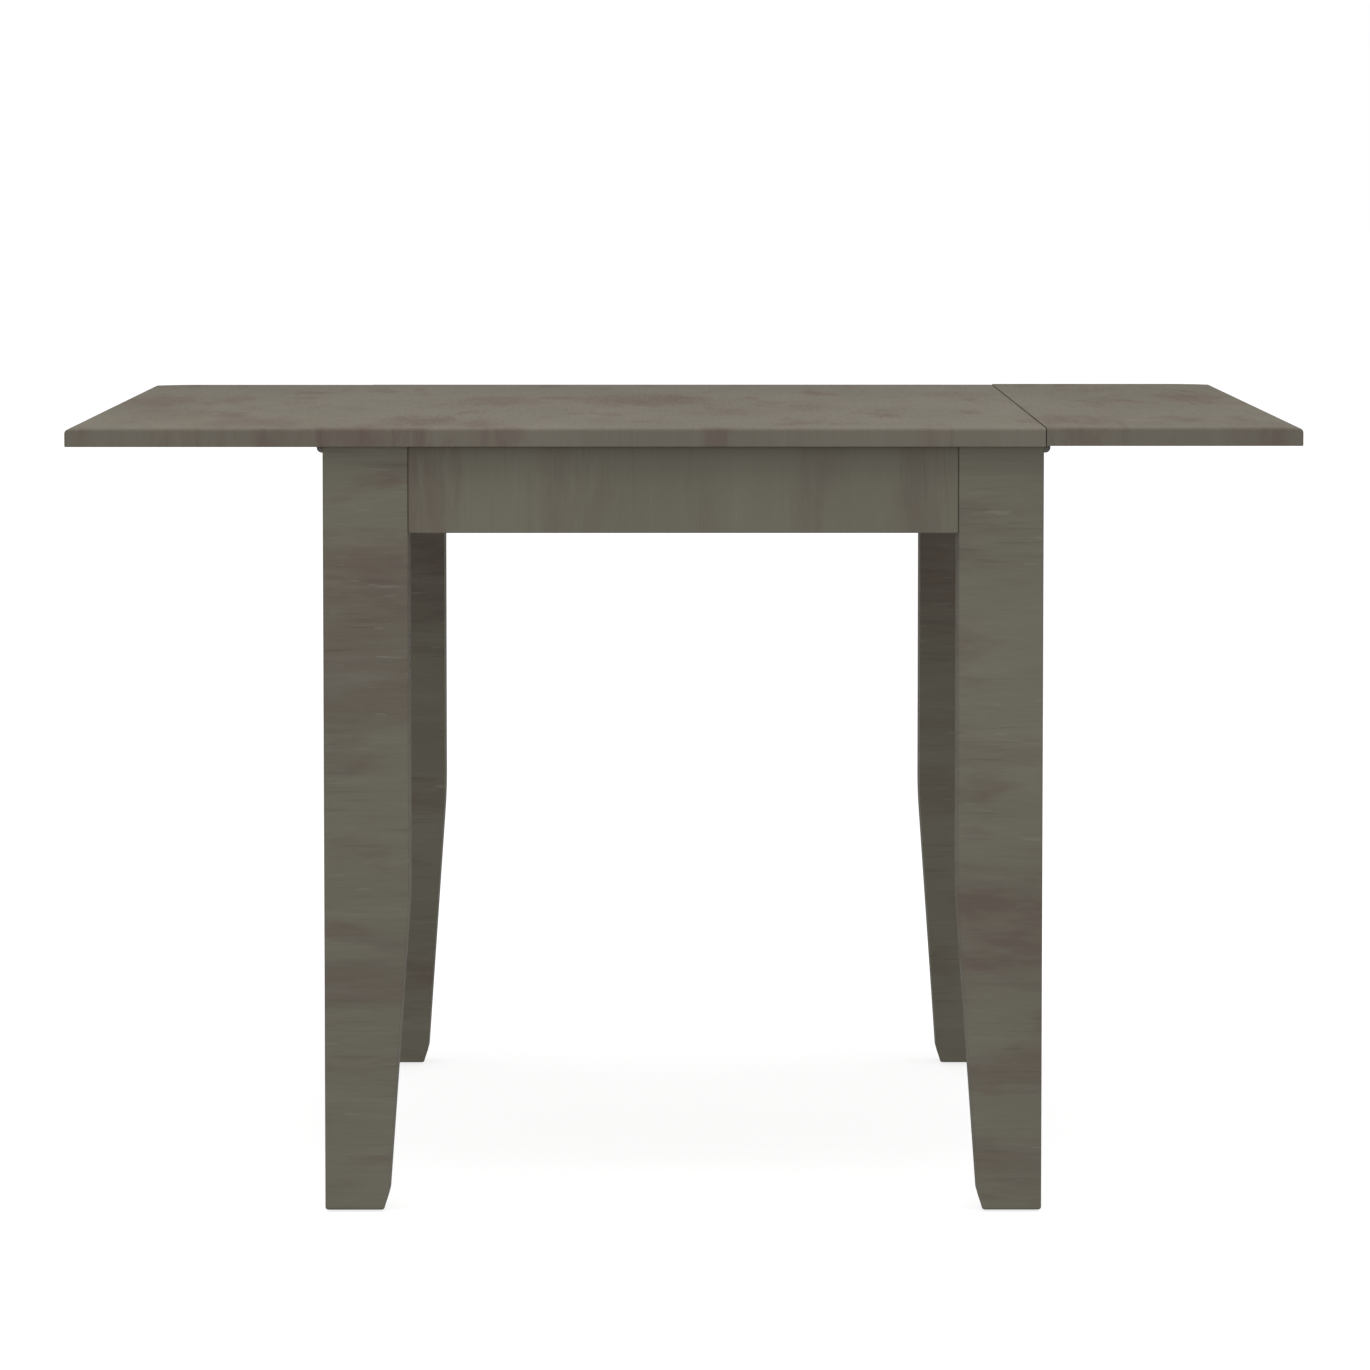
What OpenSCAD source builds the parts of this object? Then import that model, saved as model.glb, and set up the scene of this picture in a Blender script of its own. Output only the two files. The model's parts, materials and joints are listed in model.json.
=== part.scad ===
// Drop-leaf dining table: a fixed top on four tapered legs, with a leaf hinged along each long
// side and two pull-out slides that hold each raised leaf.
// The origin is on the floor under the middle of the table. +X is to the right, +Y to the rear.

/* [Top] */
// Height of the centre board's upper face above the floor
table_height = 767; // [720:1:780]
// Thickness of the centre board and of both leaves
board_thickness = 18; // [18:1:24]
// Length of the top from its front edge to its rear edge
top_length = 1200; // [1100:10:1400]
// Width of the fixed centre board
centre_width = 700.6; // [680:0.1:800]
// Radius that rounds the front and rear upper edges
edge_radius = 3; // [2:0.5:8]

/* [Leaves] */
// Width of each leaf
leaf_width = 248; // [245:0.1:300]
// Open seam between the centre board and the left leaf
left_gap = 0.4; // [0.4:0.1:1]
// Open seam between the centre board and the right leaf
right_gap = 1.6; // [0.4:0.1:2]
// How far the left leaf stands above the centre board
left_lift = -0.2; // [-0.2:0.1:0.8]
// How far the right leaf stands above the centre board
right_lift = 0.8; // [-0.2:0.1:0.8]
// Drop of a leaf's upper face at its outer end
leaf_fall = 0.8; // [0.5:0.1:3]
// Width of the strip over which that face falls
leaf_fall_run = 50; // [20:1:80]
// Radius that rounds the leaves' outer upper edges
end_radius = 4.5; // [3:0.5:8]

/* [Legs and aprons] */
// Width of the square leg at the top
leg_size = 82.5; // [70:0.5:90]
// Width of the leg just above the foot chamfer
leg_foot_size = 62; // [45:0.5:66]
// Height at which the two inner faces start to taper
taper_height = 307; // [200:1:500]
// Distance from the front or rear edge of the top to the legs
front_overhang = 17; // [12:1:60]
// Depth of all four aprons
apron_depth = 84.5; // [75:0.5:110]
// Thickness of all four aprons
apron_thickness = 22; // [18:0.5:24]

/* [Slides] */
// Length of a slide
slide_length = 440; // [430:1:450]
// How far a slide pulls out under its leaf
slide_travel = 205; // [150:1:210]
// Width of a slide
slide_width = 44; // [36:1:46]

/* [Hinges] */
// Length of a hinge along the seam
hinge_length = 70; // [60:1:76]
// Radius of the hinge barrel
barrel_radius = 5; // [4.5:0.1:5.2]
// Radius of the hinge pin
pin_radius = 2.5; // [2:0.1:3]

/* [Hidden] */
$fn = 48;
SLOP = 1;
wood_top = [0.46, 0.44, 0.39];
wood_leg = [0.40, 0.38, 0.34];
wood_inner = [0.62, 0.53, 0.40];
steel = [0.45, 0.45, 0.44];
dark_steel = [0.20, 0.19, 0.18];
plastic = [0.16, 0.16, 0.15];

// Levels
underside = table_height - board_thickness;
apron_bottom = underside - apron_depth;

// Legs
leg_setback = 0.5;
leg_outer = centre_width / 2 - leg_setback;
leg_front = top_length / 2 - front_overhang;
leg_inner = leg_outer - leg_size;
leg_back = leg_front - leg_size;
glide_height = 2;
glide_radius = 12;
glide_ease = 1;
glide_pin_radius = 1.2;
glide_pin_length = 13;
foot_chamfer_height = 17;
foot_chamfer = 4;
foot_ease = 3;
taper_blend = 40;
leg_flat_cut = 14;

// Aprons stand a little inside the legs' outer faces
front_setback = 1.5;
side_setback = 8;
front_apron_outer = leg_front - front_setback;
front_apron_inner = front_apron_outer - apron_thickness;
side_apron_outer = leg_outer - side_setback;
side_apron_inner = side_apron_outer - apron_thickness;

// Hinges: the barrel's axis lies just below the underside, in the middle of each seam
barrel_drop = 1.5;
hinge_axis_height = underside - barrel_drop;
groove_clearance = 0.6;
groove_radius = barrel_radius + groove_clearance;
plate_thickness = 2;
plate_width = 38;
plate_reach = 3.4;
knuckles = 5;
knuckle_gap = 0.4;
pin_clearance = 0.05;
fit_clearance = 0.02;
pocket_clearance = 0.3;
hinge_end_margin = 3;
hinge_end_y = leg_front - hinge_end_margin - hinge_length / 2;
hinge_places = [-hinge_end_y, 0, hinge_end_y];
hinge_names = ["front", "middle", "rear"];
barrel_notch = 6.5;
barrel_notch_skin = 2;
hinge_screw_spacing = 24;
hinge_screw_row = 26;
hinge_screw_stagger = 12;

// Slides: each leaf has two, and opposite slides lie side by side
slide_spacing = 300;
lane_shift = 24;
slide_height = 19;
slide_clearance = 0.5;
slide_top = underside - slide_clearance;
slide_bottom = slide_top - slide_height;
slide_proud = 6;
slide_tip = side_apron_outer + slide_proud;
slide_inner_end = slide_tip - slide_length;
notch_bottom = slide_bottom - slide_clearance;
notch_width = slide_width + 2 * slide_clearance;
nail_groove_radius = 3;
nail_groove_offset = 1;
tip_ease = 2;
guide_x = 150;
guide_length = 30;
guide_wall = 12.5;
guide_floor = 11;
guide_bottom = notch_bottom - guide_floor;
guide_width = notch_width + 2 * guide_wall;
peg_radius = 4;
peg_reach = 10;
stop_gap = 0.4;
peg_x = guide_x - guide_length / 2 - peg_radius - stop_gap - slide_travel;
stop_length = 16;
stop_width = 40;
stop_x = slide_inner_end - stop_gap - stop_length / 2;

// Centre bearer
bearer_height = 60;
bearer_screw_drops = [45, 22];

// Corner braces and hanger bolts
brace_height = 50;
brace_thickness = 2.5;
brace_flange = 40;
brace_drop = 42;
brace_centre = underside - brace_drop;
brace_screw_offset = 14;
brace_gap = 12;
brace_reach = (leg_inner + leg_back) / sqrt(2) - brace_gap;
bolt_radius = 4;
bolt_in_leg = 45;
bolt_tail = 16;
brace_hole_clearance = 0.4;
washer_radius = 10;
washer_thickness = 1.6;
washer_clearance = 0.2;
nut_radius = 7.5;
nut_height = 6.5;
// distance along the bolt from the leg's flat to the brace's inner face
brace_face = leg_flat_cut / sqrt(2) + brace_gap + brace_thickness;

// Angle brackets between the centre board and the aprons
bracket_leg = 30;
bracket_width = 20;
bracket_thickness = 2;
bracket_screw_reach = 18;
front_bracket_x = 80;
side_bracket_y = 300;

// Slot across a screw's head
slot_width = 1;
slot_depth = 0.7;

// Countersunk screws: [shank radius, head radius, length]
hinge_screw = [1.75, 3.6, 14];
wood_screw = [2, 4, 16];
guide_screw = [2, 4, 42];
stop_screw = [2, 4, 29];
bearer_screw = [2.25, 4.5, 50];

corner_names = ["front_left", "front_right", "rear_left", "rear_right"];
side_names = ["left", "right"];

// side is -1 on the left and 1 on the right; end is -1 at the front and 1 at the rear
function gap(side) = side < 0 ? left_gap : right_gap;
function lift(side) = side < 0 ? left_lift : right_lift;
function seam(side) = centre_width / 2 + gap(side) / 2;
function lane(side, end) = end * slide_spacing / 2 + side * lane_shift;

// ---- Shared shapes ----

// Draws its children as they stand on the right, or mirrored onto the left
module on_side(side) {
    mirror([side < 0 ? 1 : 0, 0, 0]) children();
}

// Draws its children as they stand at the rear, or mirrored to the front
module at_end(end) {
    mirror([0, end < 0 ? 1 : 0, 0]) children();
}

// A box given by its lowest and highest corner
module block(low, high) {
    translate(low) cube(high - low);
}

// A countersunk screw along +Z with the face of its head at z = 0; grow widens it into its hole
module screw(size, grow = 0) {
    cone = size[1] - size[0];
    translate([0, 0, -grow]) cylinder(r1 = size[1] + grow, r2 = size[0] + grow, h = cone + grow);
    cylinder(r = size[0] + grow, h = size[2] + grow);
}

// The slot across a screw's head
module slotted_screw(size) {
    difference() {
        screw(size);
        translate([-size[1] - SLOP, -slot_width / 2, -SLOP]) {
            cube([2 * (size[1] + SLOP), slot_width, SLOP + slot_depth]);
        }
    }
}

// Draws either screws or their holes
module fastener(size, hole) {
    if (hole) screw(size, fit_clearance);
    else slotted_screw(size);
}

// Outline of a board seen along X: square below, rounded above
module rounded_board(length, bottom, top) {
    half = length / 2;
    translate([-half, bottom]) square([length, top - bottom - edge_radius]);
    translate([-half + edge_radius, bottom]) square([length - 2 * edge_radius, top - bottom]);
    for (y = [-half + edge_radius, half - edge_radius]) {
        translate([y, top - edge_radius]) circle(r = edge_radius);
    }
}

// ---- Hinges ----

// The groove around the barrels along one side
module barrel_grooves(side) {
    for (y = hinge_places) {
        translate([seam(side), y + hinge_length / 2 + SLOP, hinge_axis_height]) {
            rotate([90, 0, 0]) cylinder(r = groove_radius, h = hinge_length + 2 * SLOP);
        }
    }
}

// One plate with its knuckles, in place on the right; out is 1 for the leaf's plate and -1 for the board's
module hinge_plate(side, out) {
    step = hinge_length / knuckles;
    first = out < 0 ? 0 : 1;
    difference() {
        union() {
            translate([out * plate_reach, -hinge_length / 2, barrel_drop]) {
                mirror([out < 0 ? 1 : 0, 0, 0]) {
                    cube([plate_width - plate_reach, hinge_length, plate_thickness]);
                }
            }
            for (k = [first:2:knuckles - 1]) {
                translate([0, -hinge_length / 2 + (k + 1) * step - knuckle_gap / 2, 0]) {
                    rotate([90, 0, 0]) cylinder(r = barrel_radius, h = step - knuckle_gap);
                }
            }
        }
        for (k = [1 - first:2:knuckles - 1]) {
            translate([0, -hinge_length / 2 + (k + 1) * step + knuckle_gap / 2, 0]) {
                rotate([90, 0, 0]) cylinder(r = groove_radius, h = step + knuckle_gap);
            }
        }
        translate([0, hinge_length / 2 + SLOP, 0]) rotate([90, 0, 0]) {
            cylinder(
                r = pin_radius + (out < 0 ? fit_clearance : pin_clearance),
                h = hinge_length + 2 * SLOP
            );
        }
        hinge_screws(out, true);
    }
}

// The three screws of one plate, about the hinge's own axis
module hinge_screws(out, hole) {
    for (k = [-1:1]) {
        x = k == 0 ? hinge_screw_row : hinge_screw_row - hinge_screw_stagger;
        translate([out * x, k * hinge_screw_spacing, barrel_drop]) fastener(hinge_screw, hole);
    }
}

// Places its children at every hinge of one side
module at_hinges(side) {
    for (y = hinge_places) translate([seam(side), y, hinge_axis_height]) children();
}

// The shallow pocket that takes a plate
module plate_pocket(out) {
    reach = plate_width + pocket_clearance;
    length = hinge_length + 2 * pocket_clearance;
    translate([out < 0 ? -reach : 0, -length / 2, -SLOP]) {
        cube([reach, length, SLOP + barrel_drop + plate_thickness + fit_clearance]);
    }
}

module board_hinge_plate(side, place) {
    color(dark_steel) on_side(side) {
        translate([seam(side), hinge_places[place], hinge_axis_height]) hinge_plate(side, -1);
    }
}

module leaf_hinge_plate(side, place) {
    color(dark_steel) on_side(side) {
        translate([seam(side), hinge_places[place], hinge_axis_height]) hinge_plate(side, 1);
    }
}

module hinge_pins(side) {
    color(steel) on_side(side) at_hinges(side) {
        translate([0, hinge_length / 2, 0]) rotate([90, 0, 0]) {
            cylinder(r = pin_radius, h = hinge_length);
        }
    }
}

module hinge_board_screws(side) {
    color(steel) on_side(side) at_hinges(side) hinge_screws(-1, false);
}

module hinge_leaf_screws(side) {
    color(steel) on_side(side) at_hinges(side) hinge_screws(1, false);
}

// ---- Top ----

module centre_board() {
    color(wood_top) difference() {
        translate([-centre_width / 2, 0, 0]) rotate([90, 0, 90]) linear_extrude(centre_width) {
            rounded_board(top_length, underside, table_height);
        }
        for (side = [-1, 1]) on_side(side) {
            barrel_grooves(side);
            at_hinges(side) {
                plate_pocket(-1);
                hinge_screws(-1, true);
            }
        }
        guide_fasteners(true);
        stop_fasteners(true);
        bracket_fasteners(true);
    }
}

// Outline of the right leaf seen along Y: flat, then falling gently to its rounded outer end
module leaf_outline(side) {
    inner = centre_width / 2 + gap(side);
    outer = inner + leaf_width;
    bottom = underside + lift(side);
    top = table_height + lift(side);
    flat_end = outer - leaf_fall_run;
    fall_end = outer - end_radius;
    round_centre = top - leaf_fall - end_radius;
    steps = 8;
    polygon(concat(
        [[inner, bottom], [inner, top]],
        [for (i = [0:steps]) [
            flat_end + (fall_end - flat_end) * i / steps,
            top - leaf_fall * pow(i / steps, 2)
        ]],
        [for (i = [1:steps]) let (angle = 90 * (1 - i / steps)) [
            fall_end + end_radius * cos(angle),
            round_centre + end_radius * sin(angle)
        ]],
        [[outer, bottom]]
    ));
}

module leaf(side) {
    color(wood_top) on_side(side) difference() {
        intersection() {
            translate([0, top_length / 2, 0]) rotate([90, 0, 0]) linear_extrude(top_length) {
                leaf_outline(side);
            }
            translate([centre_width / 2, 0, 0]) rotate([90, 0, 90]) {
                linear_extrude(gap(side) + leaf_width + SLOP) {
                    rounded_board(top_length, underside + lift(side), table_height + lift(side));
                }
            }
        }
        barrel_grooves(side);
        at_hinges(side) {
            plate_pocket(1);
            hinge_screws(1, true);
        }
    }
}

// ---- Legs ----

// Outline of a leg's face: outer is the straight side, and the other side tapers towards the foot.
// The change to the taper is blended over taper_blend.
module leg_outline(outer) {
    inner = outer - leg_size;
    foot = outer - leg_foot_size;
    slope = (foot - inner) / (taper_height - foot_chamfer_height);
    half = taper_blend / 2;
    steps = 6;
    polygon(concat(
        [[outer, underside], [outer, glide_height + foot_ease]],
        [[outer - foot_ease, glide_height]],
        [[foot + foot_chamfer + foot_ease, glide_height]],
        [[foot + foot_chamfer, glide_height + foot_ease]],
        [[foot, foot_chamfer_height]],
        [for (i = [0:steps]) let (t = i / steps) [
            inner + slope * half * pow(1 - t, 2),
            taper_height - half * pow(1 - t, 2) + half * pow(t, 2)
        ]],
        [[inner, underside]]
    ));
}

// A leg, shown at the rear right and mirrored to the other corners
module leg(side, end) {
    color(wood_leg) on_side(side) at_end(end) difference() {
        intersection() {
            translate([0, leg_front, 0]) rotate([90, 0, 0]) linear_extrude(leg_size) {
                leg_outline(leg_outer);
            }
            translate([leg_inner, 0, 0]) rotate([90, 0, 90]) linear_extrude(leg_size) {
                leg_outline(leg_front);
            }
        }
        // flat on the inner corner for the hanger bolt
        translate([leg_inner, leg_back, apron_bottom]) rotate([0, 0, 45]) {
            translate([-leg_size, -leg_size / 2, 0]) {
                cube([leg_size + leg_flat_cut / sqrt(2), leg_size, apron_depth + SLOP]);
            }
        }
        hanger_bolt_place() translate([0, 0, -bolt_in_leg - SLOP]) {
            cylinder(r = bolt_radius + fit_clearance, h = bolt_in_leg + leg_size);
        }
        // stopped notch that clears the hinge barrel
        block(
            [leg_outer - barrel_notch, leg_back - SLOP, hinge_axis_height - barrel_notch],
            [leg_outer + SLOP, leg_front - barrel_notch_skin, underside + SLOP]
        );
        glide_place() cylinder(r = glide_pin_radius + fit_clearance, h = glide_pin_length + SLOP);
    }
}

// Middle of the foot at the rear right
module glide_place() {
    middle = (leg_foot_size - foot_chamfer) / 2;
    translate([leg_outer - middle, leg_front - middle, 0]) children();
}

module foot_glides() {
    color(plastic) for (side = [-1, 1], end = [-1, 1]) on_side(side) at_end(end) glide_place() {
        cylinder(r1 = glide_radius - glide_ease, r2 = glide_radius, h = glide_height / 2);
        translate([0, 0, glide_height / 2]) cylinder(r = glide_radius, h = glide_height / 2);
        cylinder(r = glide_pin_radius, h = glide_pin_length);
    }
}

// ---- Aprons ----

module end_apron(end) {
    color(wood_leg) at_end(end) difference() {
        block(
            [-leg_inner, front_apron_inner, apron_bottom],
            [leg_inner, front_apron_outer, underside]
        );
        brace_fasteners_at_rear(true);
        for (side = [-1, 1]) end_bracket(side) bracket_side_screw(true);
    }
}

module side_apron(side) {
    color(wood_leg) on_side(side) difference() {
        block(
            [side_apron_inner, -leg_back, apron_bottom],
            [side_apron_outer, leg_back, underside]
        );
        bearer_fasteners_at_right(true);
        for (end = [-1, 1]) {
            at_end(end) brace_fasteners_at_side(true);
            side_bracket(end) bracket_side_screw(true);
            translate([0, lane(side, end), 0]) block(
                [side_apron_inner - SLOP, -notch_width / 2, notch_bottom],
                [side_apron_outer + SLOP, notch_width / 2, underside + SLOP]
            );
        }
    }
}

// ---- Centre bearer ----

module centre_bearer() {
    color(wood_inner) difference() {
        block(
            [-side_apron_inner, -apron_thickness / 2, underside - bearer_height],
            [side_apron_inner, apron_thickness / 2, underside]
        );
        for (side = [-1, 1]) on_side(side) bearer_fasteners_at_right(true);
    }
}

module bearer_fasteners_at_right(hole) {
    for (drop = bearer_screw_drops) {
        translate([side_apron_outer, 0, underside - drop]) rotate([0, -90, 0]) {
            fastener(bearer_screw, hole);
        }
    }
}

module bearer_screws() {
    color(steel) for (side = [-1, 1]) on_side(side) bearer_fasteners_at_right(false);
}

// ---- Corner braces ----

// Outline of the bent strip in plan at the rear right; inset moves it in from the aprons' faces
function brace_path(inset) =
    let (
        x = side_apron_inner - inset,
        y = front_apron_inner - inset,
        diagonal = (brace_reach - inset) * sqrt(2)
    )
    [
        [x, diagonal - side_apron_inner - brace_flange],
        [x, diagonal - x],
        [diagonal - y, y],
        [diagonal - front_apron_inner - brace_flange, y]
    ];

module corner_brace(side, end) {
    outer = brace_path(0);
    inner = brace_path(brace_thickness);
    color(steel) on_side(side) at_end(end) difference() {
        translate([0, 0, brace_centre - brace_height / 2]) linear_extrude(brace_height) {
            polygon([
                outer[0], outer[1], outer[2], outer[3],
                [outer[3][0], inner[3][1]], inner[2], inner[1], [inner[0][0], outer[0][1]]
            ]);
        }
        hanger_bolt_place() translate([0, 0, -bolt_tail]) {
            cylinder(r = bolt_radius + brace_hole_clearance, h = bolt_in_leg);
        }
        brace_fasteners_at_rear(true);
        brace_fasteners_at_side(true);
    }
}

// Screws from a brace into the side apron at the right
module brace_fasteners_at_side(hole) {
    y = brace_reach * sqrt(2) - side_apron_inner - brace_flange / 2;
    for (rise = [-brace_screw_offset, brace_screw_offset]) {
        translate([side_apron_inner - brace_thickness, y, brace_centre + rise]) rotate([0, 90, 0]) {
            fastener(wood_screw, hole);
        }
    }
}

// Screws from both rear braces into the rear apron
module brace_fasteners_at_rear(hole) {
    x = brace_reach * sqrt(2) - front_apron_inner - brace_flange / 2;
    y = front_apron_inner - brace_thickness;
    for (side = [-1, 1], rise = [-brace_screw_offset, brace_screw_offset]) {
        translate([side * x, y, brace_centre + rise]) rotate([-90, 0, 0]) fastener(wood_screw, hole);
    }
}

module brace_screws() {
    color(steel) {
        for (end = [-1, 1]) at_end(end) brace_fasteners_at_rear(false);
        for (side = [-1, 1], end = [-1, 1]) on_side(side) at_end(end) {
            brace_fasteners_at_side(false);
        }
    }
}

// Inner face of the rear right brace, with +Z pointing inward along the diagonal
module hanger_bolt_place() {
    leg_face = (leg_inner + leg_back + leg_flat_cut) / sqrt(2);
    middle = (leg_inner - leg_back) / 2;
    along = leg_face / sqrt(2);
    translate([middle + along, along - middle, brace_centre]) rotate([0, -90, 45]) children();
}

module hanger_bolts() {
    color(steel) for (side = [-1, 1], end = [-1, 1]) on_side(side) at_end(end) {
        hanger_bolt_place() translate([0, 0, -bolt_in_leg]) {
            cylinder(r = bolt_radius, h = bolt_in_leg + brace_face + bolt_tail);
        }
    }
}

module hanger_washers() {
    color(steel) for (side = [-1, 1], end = [-1, 1]) on_side(side) at_end(end) {
        hanger_bolt_place() translate([0, 0, brace_face]) difference() {
            cylinder(r = washer_radius, h = washer_thickness);
            translate([0, 0, -SLOP]) {
                cylinder(r = bolt_radius + washer_clearance, h = washer_thickness + 2 * SLOP);
            }
        }
    }
}

module hanger_nuts() {
    color(steel) for (side = [-1, 1], end = [-1, 1]) on_side(side) at_end(end) {
        hanger_bolt_place() translate([0, 0, brace_face + washer_thickness]) difference() {
            cylinder(r = nut_radius, h = nut_height, $fn = 6);
            translate([0, 0, -SLOP]) cylinder(r = bolt_radius + fit_clearance, h = nut_height + 2 * SLOP);
        }
    }
}

// ---- Brackets between top and aprons ----

// Corner of a bracket at the rear apron, with +X out towards the apron
module end_bracket(side) {
    translate([side * front_bracket_x, front_apron_inner, underside]) rotate([0, 0, 90]) children();
}

// Corner of a bracket at the right apron
module side_bracket(end) {
    translate([side_apron_inner, end * side_bracket_y, underside]) children();
}

module all_brackets() {
    for (end = [-1, 1], side = [-1, 1]) at_end(end) end_bracket(side) children();
    for (side = [-1, 1], end = [-1, 1]) on_side(side) side_bracket(end) children();
}

module bracket_side_screw(hole) {
    translate([-bracket_thickness, 0, -bracket_screw_reach]) rotate([0, 90, 0]) {
        fastener(wood_screw, hole);
    }
}

module bracket_top_screw(hole) {
    translate([-bracket_screw_reach, 0, -bracket_thickness]) fastener(wood_screw, hole);
}

module bracket_fasteners(hole) {
    all_brackets() {
        bracket_side_screw(hole);
        bracket_top_screw(hole);
    }
}

module top_brackets() {
    half = bracket_width / 2;
    color(steel) all_brackets() difference() {
        union() {
            block([-bracket_thickness, -half, -bracket_leg], [0, half, 0]);
            block([-bracket_leg, -half, -bracket_thickness], [0, half, 0]);
        }
        bracket_side_screw(true);
        bracket_top_screw(true);
    }
}

module bracket_screws() {
    color(steel) bracket_fasteners(false);
}

// ---- Slides ----

module slide(side, end) {
    color(wood_inner) translate([0, lane(side, end), 0]) on_side(side) difference() {
        translate([0, slide_width / 2, 0]) rotate([90, 0, 0]) linear_extrude(slide_width) {
            polygon([
                [slide_inner_end, slide_bottom],
                [slide_tip - tip_ease, slide_bottom],
                [slide_tip, slide_bottom + tip_ease],
                [slide_tip, slide_top - tip_ease],
                [slide_tip - tip_ease, slide_top],
                [slide_inner_end, slide_top]
            ]);
        }
        // groove behind the lip for a fingernail
        translate([
            side_apron_outer + nail_groove_offset,
            slide_width / 2 + SLOP,
            slide_bottom - nail_groove_offset
        ]) {
            rotate([90, 0, 0]) cylinder(r = nail_groove_radius, h = slide_width + 2 * SLOP);
        }
        translate([peg_x, 0, slide_bottom - SLOP]) {
            cylinder(r = peg_radius + fit_clearance, h = slide_height + 2 * SLOP);
        }
    }
}

module stop_peg(side, end) {
    color(wood_leg) translate([0, lane(side, end), 0]) on_side(side) {
        translate([peg_x, 0, slide_bottom - peg_reach]) {
            cylinder(r = peg_radius, h = slide_height + peg_reach);
        }
    }
}

module slide_guide(side, end) {
    color(wood_inner) difference() {
        translate([0, lane(side, end), 0]) on_side(side) difference() {
            block(
                [guide_x - guide_length / 2, -guide_width / 2, guide_bottom],
                [guide_x + guide_length / 2, guide_width / 2, underside]
            );
            block(
                [guide_x - guide_length, -notch_width / 2, notch_bottom],
                [guide_x + guide_length, notch_width / 2, underside + SLOP]
            );
        }
        guide_fasteners(true);
    }
}

module guide_fasteners(hole) {
    y = (notch_width + guide_wall) / 2;
    for (side = [-1, 1], end = [-1, 1], ear = [-y, y]) {
        translate([side * guide_x, lane(side, end) + ear, guide_bottom]) fastener(guide_screw, hole);
    }
}

module guide_screws() {
    color(steel) guide_fasteners(false);
}

module slide_stops() {
    color(wood_inner) difference() {
        for (side = [-1, 1], end = [-1, 1]) translate([0, lane(side, end), 0]) on_side(side) {
            block(
                [stop_x - stop_length / 2, -stop_width / 2, slide_bottom],
                [stop_x + stop_length / 2, stop_width / 2, underside]
            );
        }
        stop_fasteners(true);
    }
}

module stop_fasteners(hole) {
    for (side = [-1, 1], end = [-1, 1]) {
        translate([side * stop_x, lane(side, end), slide_bottom]) fastener(stop_screw, hole);
    }
}

module stop_screws() {
    color(steel) stop_fasteners(false);
}

// ---- Nodes ----

centre_board();
leg(-1, -1);  // leg_front_left
leg(1, -1);  // leg_front_right
leg(-1, 1);  // leg_rear_left
leg(1, 1);  // leg_rear_right
end_apron(-1);  // apron_front
end_apron(1);  // apron_rear
side_apron(-1);  // apron_left
side_apron(1);  // apron_right
centre_bearer();
corner_brace(-1, -1);  // corner_brace_front_left
corner_brace(1, -1);  // corner_brace_front_right
corner_brace(-1, 1);  // corner_brace_rear_left
corner_brace(1, 1);  // corner_brace_rear_right
hanger_bolts();
hanger_washers();
hanger_nuts();
brace_screws();
top_brackets();
bracket_screws();
bearer_screws();
foot_glides();
slide_guide(-1, -1);  // slide_guide_left_front
slide_guide(-1, 1);  // slide_guide_left_rear
slide_guide(1, -1);  // slide_guide_right_front
slide_guide(1, 1);  // slide_guide_right_rear
guide_screws();
slide_stops();
stop_screws();
board_hinge_plate(-1, 0);  // hinge_left_front_board_plate
board_hinge_plate(-1, 1);  // hinge_left_middle_board_plate
board_hinge_plate(-1, 2);  // hinge_left_rear_board_plate
board_hinge_plate(1, 0);  // hinge_right_front_board_plate
board_hinge_plate(1, 1);  // hinge_right_middle_board_plate
board_hinge_plate(1, 2);  // hinge_right_rear_board_plate
hinge_pins(-1);  // hinge_pins_left
hinge_pins(1);  // hinge_pins_right
hinge_board_screws(-1);  // hinge_board_screws_left
hinge_board_screws(1);  // hinge_board_screws_right
leaf(-1);  // leaf_left
leaf(1);  // leaf_right
leaf_hinge_plate(-1, 0);  // hinge_left_front_leaf_plate
leaf_hinge_plate(-1, 1);  // hinge_left_middle_leaf_plate
leaf_hinge_plate(-1, 2);  // hinge_left_rear_leaf_plate
leaf_hinge_plate(1, 0);  // hinge_right_front_leaf_plate
leaf_hinge_plate(1, 1);  // hinge_right_middle_leaf_plate
leaf_hinge_plate(1, 2);  // hinge_right_rear_leaf_plate
hinge_leaf_screws(-1);  // hinge_leaf_screws_left
hinge_leaf_screws(1);  // hinge_leaf_screws_right
slide(-1, -1);  // slide_left_front
slide(-1, 1);  // slide_left_rear
slide(1, -1);  // slide_right_front
slide(1, 1);  // slide_right_rear
stop_peg(-1, -1);  // stop_peg_left_front
stop_peg(-1, 1);  // stop_peg_left_rear
stop_peg(1, -1);  // stop_peg_right_front
stop_peg(1, 1);  // stop_peg_right_rear
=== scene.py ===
"""Looks for a drop-leaf dining table.

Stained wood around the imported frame, steel fittings, and a plain studio.
"""

import json
import math

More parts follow.
